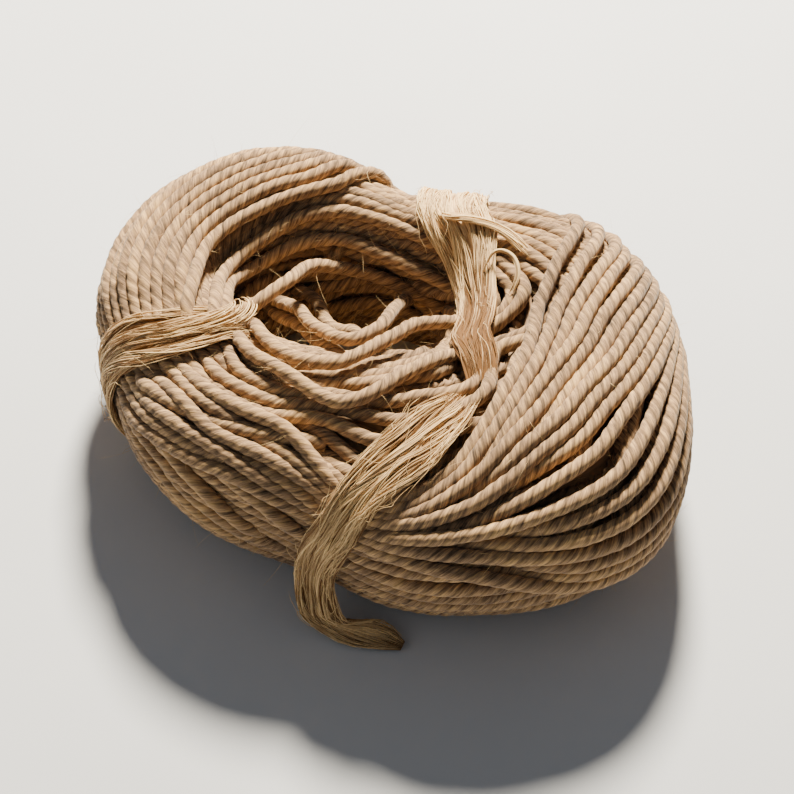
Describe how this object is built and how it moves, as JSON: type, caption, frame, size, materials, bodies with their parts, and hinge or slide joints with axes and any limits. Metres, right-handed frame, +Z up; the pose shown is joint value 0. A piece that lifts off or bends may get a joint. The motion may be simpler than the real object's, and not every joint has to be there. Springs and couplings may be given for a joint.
{
  "type": "ball of string",
  "caption": "Oblong wound ball of jute string round an open eye, lying flat, held together by flat fibre ties, one with a loose end.",
  "frame": {"origin": "centre of the bounding box in plan, at the surface that the ball lies on", "axes": "+X along the ball's long axis, +Y to its far side, +Z up out of the open eye"},
  "size_m": [0.2522, 0.1979, 0.0926],
  "materials": {
    "jute_string": "matt three-ply twisted jute string with loose hairs",
    "jute_fibre": "soft golden untwisted jute fibre"
  },
  "bodies": {
    "root": {"rope_ball": "jute_string", "tie_left": "jute_fibre", "tie_upper": "jute_fibre", "tie_lower": "jute_fibre"}
  },
  "joints": []
}
